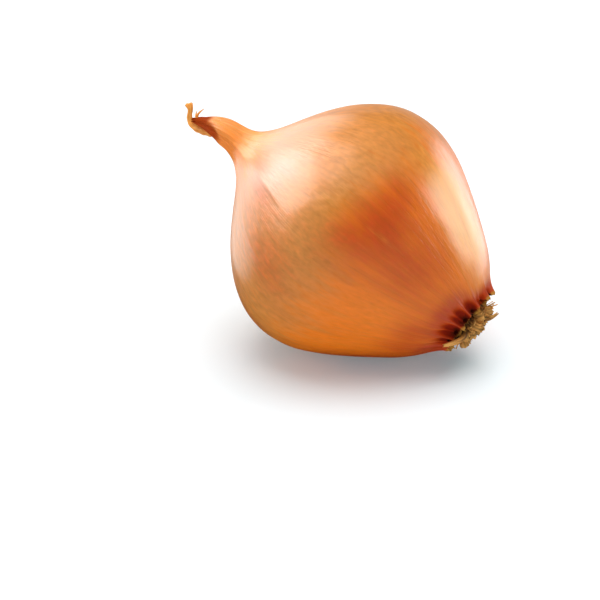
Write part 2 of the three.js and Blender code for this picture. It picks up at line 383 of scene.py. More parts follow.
def fine_relief(height, turn, sizes):
    """What the skin's layers and its drying add: bulges, dents, veins, and creases up the neck."""
    middle = smooth(4, 20, height) * (1 - smooth(70, 82, height))
    around = np.cos(2 * turn + height / 23 + 1.1) + 0.8 * np.cos(3 * turn - height / 17 + 0.3)
    bulge = BULGE * middle * (around + 0.6 * np.cos(5 * turn + height / 11 + 2.2))
    dents = 0
    for k in range(DENT_WAVES):
        waves = round(8 + 20 * float(chance(k + 200)))
        pitch = 1.4 * float(chance(k + 210)) - 0.7
        dents = dents + np.cos(waves * turn + pitch * height + 2 * k)
    bulge = bulge + DENT * middle * dents
    veins = sizes["vein_relief"] * ripples(turn, height, 7, 22, 88, 9)
    veins = veins * (0.25 + 0.75 * smooth(2, 14, height)) * (1 - 0.6 * smooth(88, 93, height))
    veins = veins * (1 - 0.6 * np.exp(-((wrapped(turn + 0.1) / 0.6) ** 2)))
    folded = smooth(74, 86, height) * outline_radius(height)
    drift = 0.05 * (height - BULB_HEIGHT)
    sharp = 1 - np.abs(np.sin(4.5 * turn + drift + 0.5 * np.sin(2 * turn)))
    sharp = sharp + 0.6 * (1 - np.abs(np.sin(8.5 * turn - 1.5 * drift + 1)))
    return bulge + veins + 0.055 * folded * (sharp - 0.5)


# Meshes. A sheet is an array of rings of points, and its columns run round them.
def make_piece(name, points, faces, layers, material, replaced):
    """A smooth mesh piece that rides on the onion, with its numbers for each point as layers."""
    mesh = bpy.data.meshes.new(name)
    mesh.from_pydata(placed(points).reshape(-1, 3).tolist(), [], faces)
    for layer, values in layers.items():
        values = np.asarray(values, np.float32)
        kind, field = ("FLOAT", "value") if values.ndim == 1 else ("FLOAT_VECTOR", "vector")
        attribute = mesh.attributes.new(layer, kind, "POINT")
        attribute.data.foreach_set(field, values.ravel())
    mesh.shade_smooth()
    mesh.materials.append(material)
    mesh.update()
    piece = bpy.data.objects.new(name, mesh)
    bpy.context.scene.collection.objects.link(piece)
    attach(piece, "root")
    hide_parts(replaced)
    return piece


def sheet_faces(rings, columns, start=0):
    """The faces between rings of points whose columns close on themselves."""
    ring, column = np.meshgrid(np.arange(rings - 1), np.arange(columns), indexing="ij")
    a = start + ring * columns + column
    b = start + ring * columns + (column + 1) % columns
    return np.stack([a, b, b + columns, a + columns], axis=-1).reshape(-1, 4).tolist()


def closed_faces(rings, columns, start=0):
    """The faces of a sheet, with a small flat cap in its first ring and in its last."""
    last = start + (rings - 1) * columns
    first_cap = [start + columns - 1 - j for j in range(columns)]
    last_cap = [last + j for j in range(columns)]
    return [*sheet_faces(rings, columns, start), first_cap, last_cap]


def tube(path, radii, sides, flat, ridges, seed, fray):
    """Rings of points round a path: a dried strand, flattened, ridged, and frayed at its end."""
    path = np.asarray(path, float)
    ahead = np.gradient(path, axis=0)
    ahead /= np.linalg.norm(ahead, axis=1, keepdims=True)
    normal = np.cross(ahead[0], (0.3, 0.9, 0.2))
    normals = []
    for heading in ahead:
        normal = normal - heading * (normal @ heading)
        normal = normal / np.linalg.norm(normal)
        normals.append(normal)
    normals = np.array(normals)
    binormals = np.cross(ahead, normals)
    angle = 2 * math.pi * np.arange(sides) / sides
    along = np.linspace(0, 1, len(path))[:, None]
    twist = angle + 1.5 * float(chance(seed)) * along
    rough = 1 + ridges * np.sin(3 * twist + 9 * float(chance(seed + 1)))
    rough = rough + 0.5 * ridges * np.sin(5 * angle + 4 * along + seed)
    rough = rough + 0.5 * ridges * np.sin(9 * angle + 2 * seed)
    radius = np.asarray(radii, float)[:, None] * rough
    out = (radius * np.cos(angle))[..., None] * normals[:, None]
    out = out + (radius * flat * np.sin(angle))[..., None] * binormals[:, None]
    ragged = fray * smooth(0.7, 1.0, along) * chance(np.arange(sides) * 7 + seed)
    return path[:, None] + out + ragged[..., None] * ahead[:, None]


def bent_path(points, steps):
    """A smooth curve through a few points, as a path of so many steps."""
    points = np.asarray(points, float)
    length = np.concatenate([[0], np.cumsum(np.linalg.norm(np.diff(points, axis=0), axis=1))])
    at = np.linspace(0, length[-1], steps + 1)
    return np.stack([spline(list(zip(length, points[:, k])))(at) for k in range(3)], axis=-1)


class Strands:
    """Gathers tubes into one mesh, with a tone for each tube and how far along it a point is."""

    def __init__(self):
        self.points = []
        self.faces = []
        self.tone = []
        self.along = []
        self.grain = []
        self.count = 0

    def add(self, path, radii, sides, flat, ridges, seed, fray=0.0):
        """One more tube, closed at both ends."""
        rings = tube(path, radii, sides, flat, ridges, seed, fray)
        self.faces += closed_faces(len(rings), sides, self.count)
        self.points.append(rings.reshape(-1, 3))
        self.count += rings.shape[0] * rings.shape[1]
        steps = np.linspace(0, 1, len(rings))
        length = np.linalg.norm(np.diff(np.asarray(path), axis=0), axis=1).sum()
        angle = 2 * math.pi * np.arange(sides) / sides
        distance = np.broadcast_to((steps * length)[:, None], rings.shape[:2])
        around = np.broadcast_to(angle, rings.shape[:2])
        wide = float(np.max(radii))
        spot = [wide * np.cos(around), wide * np.sin(around) + 7 * seed, distance]
        self.grain.append(np.stack(spot, axis=-1).reshape(-1, 3))
        self.along.append(np.repeat(steps, sides))
        self.tone.append(np.full(rings.shape[0] * sides, float(chance(seed + 900))))

    def make(self, name, material, slot, replaced):
        """One piece out of all the gathered tubes."""
        layers = {
            "tone": np.concatenate(self.tone),
            "along": np.concatenate(self.along),
            "grain": np.concatenate(self.grain),
        }
        points = np.concatenate(self.points)
        return make_piece(name, points, self.faces, layers, material, replaced)


def skin_layers(height, share, inner):
    """What the skin's material reads at each point."""
    turn = turn_of(share)
    # The hollows' painted shade is strongest on the side that faces -Y. The foot's red ends soonest
    # on top.
    near = np.exp(-((wrapped(turn - math.radians(75)) / 0.7) ** 2))
    depth = pleat(share) * (0.75 + 0.45 * near) + 0.2 * near
    spot = [EQUATOR_RADIUS * np.cos(turn), EQUATOR_RADIUS * np.sin(turn), height]
    layers = {
        "height": height,
        "hollow": depth * pleat_fade(height + 0.5, turn, 0.9 + 0.25 * near),
        "inner": inner,
        "foot": 1 - height / (2.6 + 4.9 * off_top(turn)),
        # Where the neck's bands are painted more orange, standing in for how that side of the fold is
        # lit.
        "side": np.exp(-((wrapped(turn - FOLD_SIDE) / 0.9) ** 2)),
        # The withered end of the neck, and painted shade in the fold along its front.
        "shrivel": np.maximum(shaded_fold(height, turn), smooth(90.6, 93.8, height)),
    }
    layers |= {name: patches(table, height, turn) for name, table in PATCHES.items()}
    flat = {name: values.ravel() for name, values in layers.items()}
    return {"grain": np.stack(spot, axis=-1).reshape(-1, 3), **flat}


def make_skin(sizes, material):
    """The bulb's skin, from the hollow at its foot over the frayed rim to the neck's mouth."""
    columns = PLEATS * COLUMNS_PER_PLEAT
    # The columns run against the turn, so that the faces point out.
    share = 2 * math.pi * (columns - np.arange(columns)) / columns
    rim = rim_height(share, sizes["tongue_length"])
    rim_out = skin_radius(rim, share, sizes)
    rings = []

    def ring(height, radius, inner=0.0):
        height = np.broadcast_to(height, columns)
        rings.append((height, np.broadcast_to(radius, columns), np.full(columns, inner)))

    # The floor and wall of the hollow, and the rim's inner face, are painted dark as shade by their
    # last number.
    for radius in (0.02, 3.0, 6.0):
        ring(HOLLOW_DEPTH, radius, 1.0)
    edge_in = rim_out - RIM_THICKNESS
    for step in np.linspace(0, 1, 9):
        bow = 0.6 * math.sin(math.pi * step)
        height = HOLLOW_DEPTH + (rim + 0.25 - HOLLOW_DEPTH) * step
        ring(height, HOLLOW_RADIUS + (edge_in - HOLLOW_RADIUS) * step - bow, 1.0)
    ring(rim + 0.06, rim_out - 0.82 * RIM_THICKNESS, 0.7)
    ring(rim, rim_out - 0.5 * RIM_THICKNESS, 0.4)
    ring(rim + 0.05, rim_out - 0.15 * RIM_THICKNESS, 0.1)
    first = SKIN_BANDS[0][0]
    for step in np.linspace(0.08, 1, 15):
        height = rim + (first - rim) * step
        ring(height, skin_radius(height, share, sizes))
    for low, high, count in SKIN_BANDS:
        for height in np.linspace(low, high, count + 1)[1:]:
            level = np.full(columns, height)
            ring(level, skin_radius(level, share, sizes))
    turn = turn_of(share)
    last = SKIN_BANDS[-1][1]
    # The neck's end has shrivelled shut: wrinkled rings close round a small dent, painted dark as
    # shade.
    mouth = skin_radius(np.full(columns, last), share, sizes)
    wrinkle = 0.13 * np.sin(7 * turn + 1) + 0.1 * np.sin(11 * turn) + 0.12 * np.cos(turn)
    for step, narrow in MOUTH_RINGS:
        ring(last + step + wrinkle * step, mouth * narrow, 0.06 * step)
    for step, narrow in DENT_RINGS:
        ring(last + step, mouth * narrow, 1.0)

    height, radius, inner = (np.array(part) for part in zip(*rings))
    spread = np.broadcast_to(share, height.shape)
    points = own_point(height, radius, turn_of(spread))
    faces = closed_faces(len(rings), columns)
    layers = skin_layers(height, spread, inner)
    return make_piece("bulb_skin", points, faces, layers, material, "bulb")


def make_inner_skin(material):
    """The next layer of skin at the foot: shorter frayed tongues just inside the first."""
    columns = INNER_TONGUES * COLUMNS_PER_TONGUE
    share = 2 * math.pi * (columns - np.arange(columns)) / columns
    phase = share * INNER_TONGUES / (2 * math.pi) + 0.4
    crest = np.abs(np.sin(math.pi * phase))
    length = 0.5 + 0.9 * chance(np.floor(phase) + 77)
    fray = 0.18 * np.sin(53 * share) + 0.15 * np.sin(88 * share + 2)
    edge = -0.9 - 1.4 * length * crest**1.3 + fray * crest
    foot = HOLLOW_RADIUS - INNER_GAP
    outer = outline_radius(np.maximum(edge, -2.8)) - 1.9 - 0.9 * crest
    # Along the inner face to the edge, and back along the outer face.
    back = [(step, INNER_THICKNESS) for step in (0.0, 0.35, 0.7, 1.0)]
    front = [(step, 0.0) for step in (1.0, 0.75, 0.5, 0.25, 0.0)]
    height = np.array([INNER_TOP + (edge - INNER_TOP) * step for step, _ in back + front])
    radius = np.array([foot + (outer - foot) * step - inward for step, inward in back + front])
    spread = np.broadcast_to(share, height.shape)
    points = own_point(height, radius, spread)
    last = (len(height) - 1) * columns
    faces = sheet_faces(len(height), columns)
    for j in range(columns):
        beside = (j + 1) % columns
        faces.append([last + j, last + beside, beside, j])
    layers = skin_layers(height, spread, np.full(height.shape, 0.35))
    return make_piece("inner_skin", points, faces, layers, material, "bulb")


def make_leaf_ends(sizes, material):
    """The dried leaf ends at the neck: one hooks upwards, and thin ones stand beside it."""
    strands = Strands()
    path = bent_path(LEAF_HOOK, HOOK_STEPS)
    step = np.linspace(0, 1, len(path))
    swell = 1.35 - 0.62 * smooth(0.2, 0.8, step) + 0.5 * smooth(0.85, 0.98, step)
    swell = swell * (1 - 0.45 * smooth(0.97, 1.0, step)) * (1 + 0.06 * np.sin(38 * step))
    strands.add(path, swell * sizes["strand_thickness"], 20, 0.62, 0.14, 3, 0.5)
    for number, (*points, thick, thin) in enumerate(LEAF_SPURS):
        path = bent_path(points, BEND_STEPS)
        strands.add(path, np.linspace(thick, thin, len(path)), 10, 0.6, 0.16, 20 + number)
    return strands.make("leaf_ends", material, "onion_skin", "bulb")


def make_plate(material):
    """The root plate itself: a domed, knobbly disc in the hollow."""
    turn = 2 * math.pi * np.arange(PLATE_COLUMNS) / PLATE_COLUMNS
    radius = HOLLOW_RADIUS - PLATE_GAP
    back = HOLLOW_DEPTH - PLATE_GAP
    profile = [(back, 0.02), (back, radius * 0.5), (back, radius * 0.93)]
    profile += [(back - 0.3, radius * 0.98), (1.2, radius), (0.2, radius)]
    for step in np.linspace(0.12, 1, 14):
        angle = step * math.pi / 2
        profile.append((-0.3 - PLATE_DOME * math.sin(angle), max(radius * math.cos(angle), 0.02)))
    height = np.array([[p[0]] * PLATE_COLUMNS for p in profile])
    out = np.array([[p[1]] * PLATE_COLUMNS for p in profile])
    knobs = 0.16 * ripples(turn, height * 3 + out, 300, 3, 19, 7)
    height = height - knobs * smooth(0, 0.8, -height)
    points = own_point(height, out, np.broadcast_to(turn, out.shape))
    faces = closed_faces(len(profile), PLATE_COLUMNS)
    place = points.reshape(-1, 3)
    # The plate reads as the foot of a strand, so the fibre's painted shade darkens all of it.
    layers = {"tone": np.full(len(place), 0.3), "along": np.zeros(len(place)), "grain": place}
    return make_piece("root_disc", points, faces, layers, material, "root_plate")


def root_sides(turn):
    """How much a root is on the underside, on the upper side and low in front: 0 to 1 each."""
    under = 0.5 - 0.5 * math.cos(turn)
    upper = max(0, math.cos(turn + 0.15)) ** 3
    lower = max(0, math.cos(turn - 2.1)) ** 4
    return under, upper, lower


def make_roots(sizes, material):
    """The dried roots, trimmed short: flattened clumps with thin fibres over and between them."""
    strands = Strands()
    clumps = sizes["clump_count"]
    for index in range(clumps):
        draw = [float(chance(index + 40 * k + 3)) for k in range(1, 8)]
        reach = math.sqrt((index + 0.6) / clumps)
        turn = index * GOLDEN_TURN + 0.4
        under, upper, lower = root_sides(turn)
        length = 2.1 + 1.7 * draw[0] - 0.5 * reach
        length = length * (1 - 0.2 * under - 0.45 * upper - 0.5 * lower) * sizes["root_length"]
        lean = (1.5 - 0.5 * under - 2.2 * lower) * reach**2 + 1.2 * (draw[1] - 0.4)
        radius = CLUMP_REACH * reach * (1 - 0.25 * lower)
        path = root_path(radius, turn, length, lean, turn + 0.9 * (draw[2] - 0.5), draw[3] - 0.5)
        step = np.linspace(0, 1, len(path))
        thick = sizes["clump_thickness"] * (0.75 + 0.5 * draw[4])
        radii = thick * (1.0 - 0.15 * step + 0.08 * np.sin(8 * step + 6 * draw[5]))
        strands.add(path, radii, 30, 0.36 + 0.25 * draw[6], 0.22, index + 1, 1.5)
    for number, (*points, thick) in enumerate(COMBED_CLUMPS):
        corners = [own_point(np.array(h), np.array(r), math.radians(t)) for h, r, t in points]
        path = bent_path(corners, BEND_STEPS)
        radii = thick * (0.85 - 0.45 * np.linspace(0, 1, len(path)) ** 2)
        strands.add(path, radii, 26, 0.6, 0.2, 60 + number, 1.2)
    count = sizes["root_count"]
    for index in range(count):
        draw = [float(chance(index + 100 * k + 1)) for k in range(1, 9)]
        reach = math.sqrt((index + 0.5) / count)
        turn = index * GOLDEN_TURN
        under, upper, lower = root_sides(turn)
        length = (1.8 + 2.6 * draw[0] ** 2 - 0.4 * reach) * (1 - 0.3 * under - 0.35 * upper)
        length = length * (1 - 0.5 * lower) * sizes["root_length"]
        lean = (2.2 - 1.2 * under - 1.4 * lower) * reach**2 + 2.6 * (draw[1] - 0.4)
        bend = turn + 2.2 * (draw[2] - 0.5)
        radius = ROOT_REACH * reach * (1 - 0.25 * lower)
        path = root_path(radius, turn, length, lean, bend, 3.2 * (draw[3] - 0.5))
        thick = sizes["root_thickness"] * (0.6 + 0.8 * draw[4])
        step = np.linspace(0, 1, len(path))
        radii = thick * (1 - 0.5 * step + 0.12 * np.sin(9 * step + 6 * draw[5]))
        strands.add(path, radii, 9, 0.6 + 0.35 * draw[6], 0.14, index + 101)
    return strands.make("root_tuft", material, "dried_root", "root_plate")


def root_path(radius, turn, length, lean, bend, sway):
    """One root: out of the plate, past the skin's edge, then leaning its own way."""
    def at(height, out, sideways):
        side = radius * math.sin(turn) + out * math.sin(bend) + sideways * math.cos(bend)
        rise = radius * math.cos(turn) + out * math.cos(bend) - sideways * math.sin(bend)
        return (height, side, rise)

    points = (
        at(0.4, 0, 0),
        at(-2.0, 0, 0),
        at(-2.3 - 0.5 * length, 0.5 * lean, 0.15 * sway),
        at(-2.4 - 0.9 * length, 1.2 * lean, sway),
    )
    return bent_path(points, ROOT_STEPS)


# Shader maths: a wire is a value in a material, and Python's operators add Math nodes to it.
class Wire:
    """A socket's value, with the operators that are used on it."""

    def __init__(self, shader, socket):
        self.shader = shader
        self.socket = socket

    def maths(self, operation, first, second):
        """A Math node on two values."""
        return self.shader.node("ShaderNodeMath", {"operation": operation}, {0: first, 1: second})

    def __add__(self, other):
        return self.maths("ADD", self, other)

    def __radd__(self, other):
        return self.maths("ADD", other, self)

    def __sub__(self, other):
        return self.maths("SUBTRACT", self, other)

    def __rsub__(self, other):
        return self.maths("SUBTRACT", other, self)

    def __mul__(self, other):
        return self.maths("MULTIPLY", self, other)

    def __rmul__(self, other):
        return self.maths("MULTIPLY", other, self)

    def step(self, low, high):
        """0 below low, 1 above high, and a soft step between them."""
        return self.shader.node(
            "ShaderNodeMapRange",
            {"interpolation_type": "SMOOTHSTEP"},
            {"Value": self, "From Min": low, "From Max": high},
        )


class Shader:
    """A material under construction."""

    def __init__(self, name):
        self.material = bpy.data.materials.new(name)
        self.material.use_nodes = True
        self.tree = self.material.node_tree
        self.tree.nodes.clear()

    def node(self, kind, settings=None, sockets=None, output=0):
        """Adds a node: its settings come first, then the values or links of its sockets."""
        node = self.tree.nodes.new(kind)
        for name, value in (settings or {}).items():
            setattr(node, name, value)
        for name, value in (sockets or {}).items():
            if isinstance(value, Wire):
                self.tree.links.new(value.socket, node.inputs[name])
            else:
                node.inputs[name].default_value = value
        return Wire(self, node.outputs[output]) if node.outputs else None

    def layer(self, name, output="Fac"):
        """The numbers that the mesh holds for each point under this name."""
        return self.node("ShaderNodeAttribute", {"attribute_name": name}, None, output)

    def stretched(self, vector, across, along):
        """A grain, scaled across its length and along it."""
        scale = (across, across, along)
        return self.node("ShaderNodeVectorMath", {"operation": "MULTIPLY"}, {0: vector, 1: scale})

    def noise(self, vector, scale, detail=3.0, roughness=0.55):
        """Cloudy noise between 0 and 1."""
        sockets = {"Vector": vector, "Scale": scale, "Detail": detail, "Roughness": roughness}
        return self.node("ShaderNodeTexNoise", None, sockets, "Fac")

    def veins(self, vector, scale):
        """How far the nearest vein is, in a net of cells."""
        settings = {"feature": "DISTANCE_TO_EDGE"}
        sockets = {"Vector": vector, "Scale": scale}
        return self.node("ShaderNodeTexVoronoi", settings, sockets, "Distance")

    def mix(self, share, first, second):
        """From the first colour at a share of 0 to the second at 1."""
        return self.node("ShaderNodeMix", {"data_type": "RGBA"}, {0: share, 6: first, 7: second}, 2)

    def shade(self, colour, amount):
        """The colour times a number, which may vary over the surface."""
        sockets = {0: colour, "Scale": amount}
        return self.node("ShaderNodeVectorMath", {"operation": "SCALE"}, sockets)

    def bump(self, relief, strength):
        """The normal of a fine relief."""
        sockets = {"Strength": strength, "Distance": BUMP_DEPTH, "Height": relief}
        return self.node("ShaderNodeBump", None, sockets)

    def surface(self, sockets):
        """A Principled surface."""
        return self.node("ShaderNodeBsdfPrincipled", None, sockets)

    def finish(self, surface):
        """The finished material."""
        self.node("ShaderNodeOutputMaterial", None, {"Surface": surface})
        return self.material


def skin_material(colours):
    """Dry onion skin: satin and finely mottled, in soft patches, redder at the foot."""
    shader = Shader("papery_skin")
    grain = shader.layer("grain", "Vector")
    height, inner, foot, side = map(shader.layer, ("height", "inner", "foot", "side"))
    hollow, shrivel = map(shader.layer, ("hollow", "shrivel"))
    blush, dull, light, bloom = map(shader.layer, ("blush", "dull", "light", "bloom"))

    # All but one are drawn out along the onion, as streaks and veins run from foot to neck.
    lengthwise = shader.stretched(grain, 1, 0.14)
    broad = shader.noise(shader.stretched(grain, 1, 0.5), 0.06)
    streaks = shader.noise(lengthwise, 0.42, 4.0, 0.6)
    fibres = shader.noise(shader.stretched(grain, 1, 0.2), 2.6, 3.0, 0.6)
    mottle = shader.noise(shader.stretched(grain, 1, 0.55), 0.8, 3.0, 0.42)
    across = shader.noise(shader.stretched(grain, 0.2, 1), 1.5, 3.0, 0.6)
    bend = shader.node("ShaderNodeVectorMath", {"operation": "ADD"}, {0: lengthwise, 1: grain})
    vein = 1 - shader.veins(shader.stretched(bend, 1, 0.02), 0.24).step(0.0, 0.05)

    loose = 0.9 * (broad - 0.5) + 0.7 * (streaks - 0.5) + 0.5 * (mottle - 0.5)
    upper = (height + 30 * loose).step(26.0, 46.0)
    colour = shader.mix(upper, colours["amber"], colours["gold"])

    def paint(share, name):
        """Mixes that share of the named colour into what is there."""
        nonlocal colour
        colour = shader.mix(share, colour, colours[name])

    # Tan, with painted shade between the highlights.
    paint((dull + loose).step(0.2, 1.0) * 0.6, "tan")
    # Lighter gold, partly a painted highlight under the sheen on the right.
    paint((light + loose).step(0.1, 1.0), "pale")
    # Red, with painted shadow in the shoulder's crease and painted shade along the underside.
    paint((blush + 1.2 * loose).step(-0.1, 1.2), "red")
    paint(streaks.step(0.52, 0.78) * 0.2, "pale")
    paint(fibres.step(0.52, 0.8) * 0.12, "red")
    paint(bloom * (0.5 + 0.6 * loose), "bloom")
    lower = 1 - height.step(34.0, 52.0)
    paint(vein * streaks.step(0.4, 0.65) * lower * 0.15, "vein")

    # The foot: red skin, painted shade in the hollows between the pleats, darker still by the roots.
    red_foot = (foot + 0.9 * loose).step(0.0, 0.95)
    paint(red_foot * 0.9, "foot")
    paint(hollow.step(0.2, 0.7), "hollow")
    pit_shade = (hollow * (1 - height.step(-0.6, 2.2))).step(0.45, 1.2)
    paint(pit_shade * 0.7, "dark")

    # The neck: light and orange bands, painted more orange on the side of its fold for how that
    # side is lit, and a withered brown end, with painted shade in the fold along its front.
    neck = (height + 14 * loose).step(71.0, 81.0)
    bands = (streaks + 0.3 * (fibres - 0.5) + 0.3 * side).step(0.38, 0.6)
    colour = shader.mix(neck, colour, shader.mix(bands, colours["neck"], colours["orange"]))
    withered = (shrivel + 0.7 * (fibres - 0.5) + 0.5 * (streaks - 0.5)).step(0.05, 0.95)
    brown = shader.mix((1 - fibres).step(0.45, 0.62) * 0.5, colours["mouth"], colours["dark"])
    colour = shader.mix(withered, colour, brown)

    frayed = 1 - (height + mottle * 1.4).step(-1.5, -0.4)
    paint(frayed, "fray")
    # Painted shade inside the hollow, at the rim's inner face and in the neck's dent.
    paint(inner.step(0.3, 0.9), "dark")
    colour = shader.shade(colour, 1 + (0.4 + 0.32 * upper) * (mottle - 0.5))

    relief = 0.04 * fibres + 0.08 * across + 1.1 * mottle + 0.15 * streaks - 0.15 * vein
    relief = relief * (1 - 0.8 * light.step(0.0, 0.6)) * (1 - 0.3 * upper)
    bump = shader.bump(relief, 0.85)
    satin = shader.surface({
        "Base Color": colour,
        "Roughness": 0.22 + 0.12 * fibres + 0.14 * mottle + 0.25 * red_foot,
        "Normal": bump,
        "Coat Weight": 0.12,
        "Coat Roughness": 0.26,
    })
    matte = shader.surface({
        "Base Color": colour,
        "Roughness": 0.9,
        "Normal": bump,
        "Specular IOR Level": 0.05,
    })
    dry = 0.85 * hollow.step(0.1, 0.6) + 0.3 * red_foot + 0.9 * withered + inner + 0.5 * frayed
    dry = dry.step(0.0, 1.0)
    return shader.finish(shader.node("ShaderNodeMixShader", None, {0: dry, 1: satin, 2: matte}))


def strand_material(name, dark, light, tip, rough, shadow):
    """Dried fibre: a tone for each strand, with painted shade at its foot and in the gaps between
    fibres.
    """
    shader = Shader(name)
    grain = shader.layer("grain", "Vector")
    tone = shader.layer("tone")
    along = shader.layer("along")
    lengthwise = shader.noise(shader.stretched(grain, 1, 0.2), 1.5)
    blotches = shader.noise(grain, 0.7)
    share = 0.45 * tone + 0.8 * lengthwise - 0.12
    colour = shader.mix(share.step(0.2, 0.8), dark, light)
    colour = shader.mix((along + blotches - 0.5).step(0.4, 1.0) * 0.6, colour, tip)
    # Painted shade towards each strand's foot and in the gaps between fibres.
    shaded = 1 - shadow * (1 - along.step(0.2, 0.6))
    gaps = 1.05 - 0.5 * shadow * (1 - lengthwise.step(0.32, 0.56))
    return shader.finish(shader.surface({
        "Base Color": shader.shade(colour, shaded * gaps),
        "Roughness": rough + 0.12 * lengthwise,
        "Normal": shader.bump(lengthwise + 0.5 * blotches, 0.9),
        "Specular IOR Level": 0.3,
    }))


# Settings that a user would change.
def length_property(name, description, millimetres):
    """A length, given in millimetres and kept in metres."""
    return bpy.props.FloatProperty(
        name=name, description=description, default=millimetres * MM, min=0, unit="LENGTH",
        precision=5,
    )


def share_property(name, description):
    """A share of a piece's own size."""
    return bpy.props.FloatProperty(
        name=name, description=description, default=1.0, min=0.2, max=2.0, subtype="FACTOR",
    )


def count_property(name, description, default, lowest, highest):
    """A number of things."""
    return bpy.props.IntProperty(
        name=name, description=description, default=default, min=lowest, max=highest,
    )


def angle_property(name, description, degrees):
    """An angle, given in degrees and kept in radians."""
    return bpy.props.FloatProperty(
        name=name, description=description, default=math.radians(degrees), subtype="ANGLE",
    )


def power_property(name, description, watts):
    """The power of a light."""
    return bpy.props.FloatProperty(
        name=name, description=description, default=watts, min=0, unit="POWER",
    )


def colour_property(name, description, red, green, blue):
    """A colour, given in 0 to 255."""
    return bpy.props.FloatVectorProperty(
        name=name, description=description, default=from_srgb(red, green, blue), size=4,
        subtype="COLOR", min=0, max=1,
    )


class OnionSizes(bpy.types.PropertyGroup):
    """The sizes of what the skin and the roots show."""

    pleat_depth: length_property("Pleat depth", "How deep the pleats are at the skin's edge", 2.3)
    tongue_length: length_property("Tongue length", "How far each crest hangs over the roots", 2.2)
    vein_relief: length_property("Vein relief", "How far the veins stand out of the skin", 0.0045)
    root_thickness: length_property("Root thickness", "Radius of a middling thin root", 0.3)
    clump_thickness: length_property("Clump thickness", "Radius of a middling root clump", 1.1)
    strand_thickness: share_property("Leaf end thickness", "Share of the hook's own thickness")
    root_length: share_property("Root length", "Share of the roots' own length")
    root_count: count_property("Thin roots", "How many thin roots the tuft has", 130, 10, 400)
    clump_count: count_property("Root clumps", "How many clumps the tuft has", 52, 5, 80)


class OnionColours(bpy.types.PropertyGroup):
    """The colours of the skin, the neck and the roots."""

    gold: colour_property("Upper skin", "The upper half of the bulb", 201, 127, 52)
    amber: colour_property("Lower skin", "The lower half of the bulb", 242, 124, 12)
    # The red also paints the shadow in the shoulder's crease and the shade along the underside.
    red: colour_property("Red skin", "The redder patches of the bulb", 200, 74, 12)
    # The pale also paints a highlight under the sheen on the right, in part.
    pale: colour_property("Pale streaks", "Light streaks and patches of the bulb", 236, 163, 54)
    # The tan also paints the shade between the highlights.
    tan: colour_property("Tan patches", "Dull tan patches of the upper skin", 200, 132, 62)
    bloom: colour_property("Bloom", "The dusty pink bloom of the shoulder", 208, 128, 112)
    vein: colour_property("Veins", "The thin lines from foot to neck", 150, 56, 14)
    foot: colour_property("Foot", "The skin close to the roots", 188, 52, 8)
    # Painted shade in the pleat hollows.
    hollow: colour_property("Pleat hollows", "Between the crests of the pleats", 132, 28, 8)
    fray: colour_property("Frayed edge", "The dry tips of the skin's tongues", 196, 140, 62)
    # Painted shade inside the hollow, at the rim's inner face and in the neck's dent, and the dark
    # streaks of the neck's withered end.
    dark: colour_property("Inside", "Inside the hollow and the neck", 48, 18, 6)
    neck: colour_property("Neck", "The light bands of the neck", 226, 150, 62)
    orange: colour_property("Neck bands", "The orange bands of the neck", 236, 132, 38)
    mouth: colour_property("Mouth", "The shrivelled end of the neck", 172, 64, 12)
    leaf: colour_property("Leaf ends", "The dried leaf ends at the neck", 246, 184, 96)
    root_dark: colour_property("Dark roots", "The darkest roots", 92, 50, 18)
    root_light: colour_property("Light roots", "The lightest roots", 228, 156, 74)
    root_tip: colour_property("Root tips", "The trimmed ends of the roots", 236, 178, 98)


class OnionStage(bpy.types.PropertyGroup):
    """The floor, the lights and the camera."""

    floor: colour_property("Floor", "The plain floor", 232, 233, 234)
    overhead: power_property("Overhead", "The soft light from above", 17.5)
    left_fill: power_property("Left fill", "The soft fill from the left", 1.2)
    front_fill: power_property("Front fill", "The soft fill from the front", 3.3)
    left_softbox: power_property("Left softbox", "The large softbox on the left", 7.1)
    left_glow: power_property("Left glow", "The pale card behind on the left", 1.65)
    low_card: power_property("Low card", "The pale card low on the left", 1.2)
    high_card: power_property("High card", "The pale card high on the left", 1.7)
    right_softbox: power_property("Right softbox", "The softbox behind on the right", 1.1)
    right_card: power_property("Right card", "The pale card in front on the right", 0.82)
    rim_card: power_property("Rim card", "The card behind, which lights up the outline", 0.65)
    surroundings: bpy.props.FloatProperty(
        name="Surroundings", description="Brightness of the white room", default=0.33, min=0,
    )
    azimuth: angle_property("Azimuth", "How far the camera stands round the onion", 23.5)
    elevation: angle_property("Elevation", "How far the camera looks down", 26)
    distance: bpy.props.FloatProperty(
        name="Distance", description="From the camera to the point it looks at", default=0.865,
        min=0.1, unit="LENGTH",
    )
    frame_width: bpy.props.FloatProperty(
        name="Frame width", description="What the picture takes in, at that point",
        default=0.17592, min=0.01, unit="LENGTH",
    )
    aim: bpy.props.FloatVectorProperty(
        name="Aim", description="The point that the camera looks at",
        default=(-0.01445, 0.0005, 0.0099), size=3, subtype="TRANSLATION", unit="LENGTH",
    )


def sizes_of(scene):
    """The sizes by name, with lengths in the millimetres that the shapes are worked out in."""
    sizes = {name: getattr(scene.onion_sizes, name) for name in OnionSizes.__annotations__}
    for name in ("pleat_depth", "tongue_length", "vein_relief", "root_thickness", "clump_thickness"):
        sizes[name] /= MM
    return sizes


def colours_of(scene):
    """The colours by name, as plain tuples."""
    colours = scene.onion_colours
    return {name: tuple(getattr(colours, name)) for name in OnionColours.__annotations__}


def kept_material(name, make):
    """The material of that name if it is there, or else a new one."""
    return bpy.data.materials.get(name) or make()


def skin_of(scene):
    """The skin's material."""
    return kept_material("papery_skin", lambda: skin_material(colours_of(scene)))


def fibre_of(scene, name, tones, rough, shadow):
    """A material of dried fibre, with the names of its dark, light and tip colours."""
    colours = colours_of(scene)
    dark, light, tip = (colours[tone] for tone in tones)
    return kept_material(name, lambda: strand_material(name, dark, light, tip, rough, shadow))


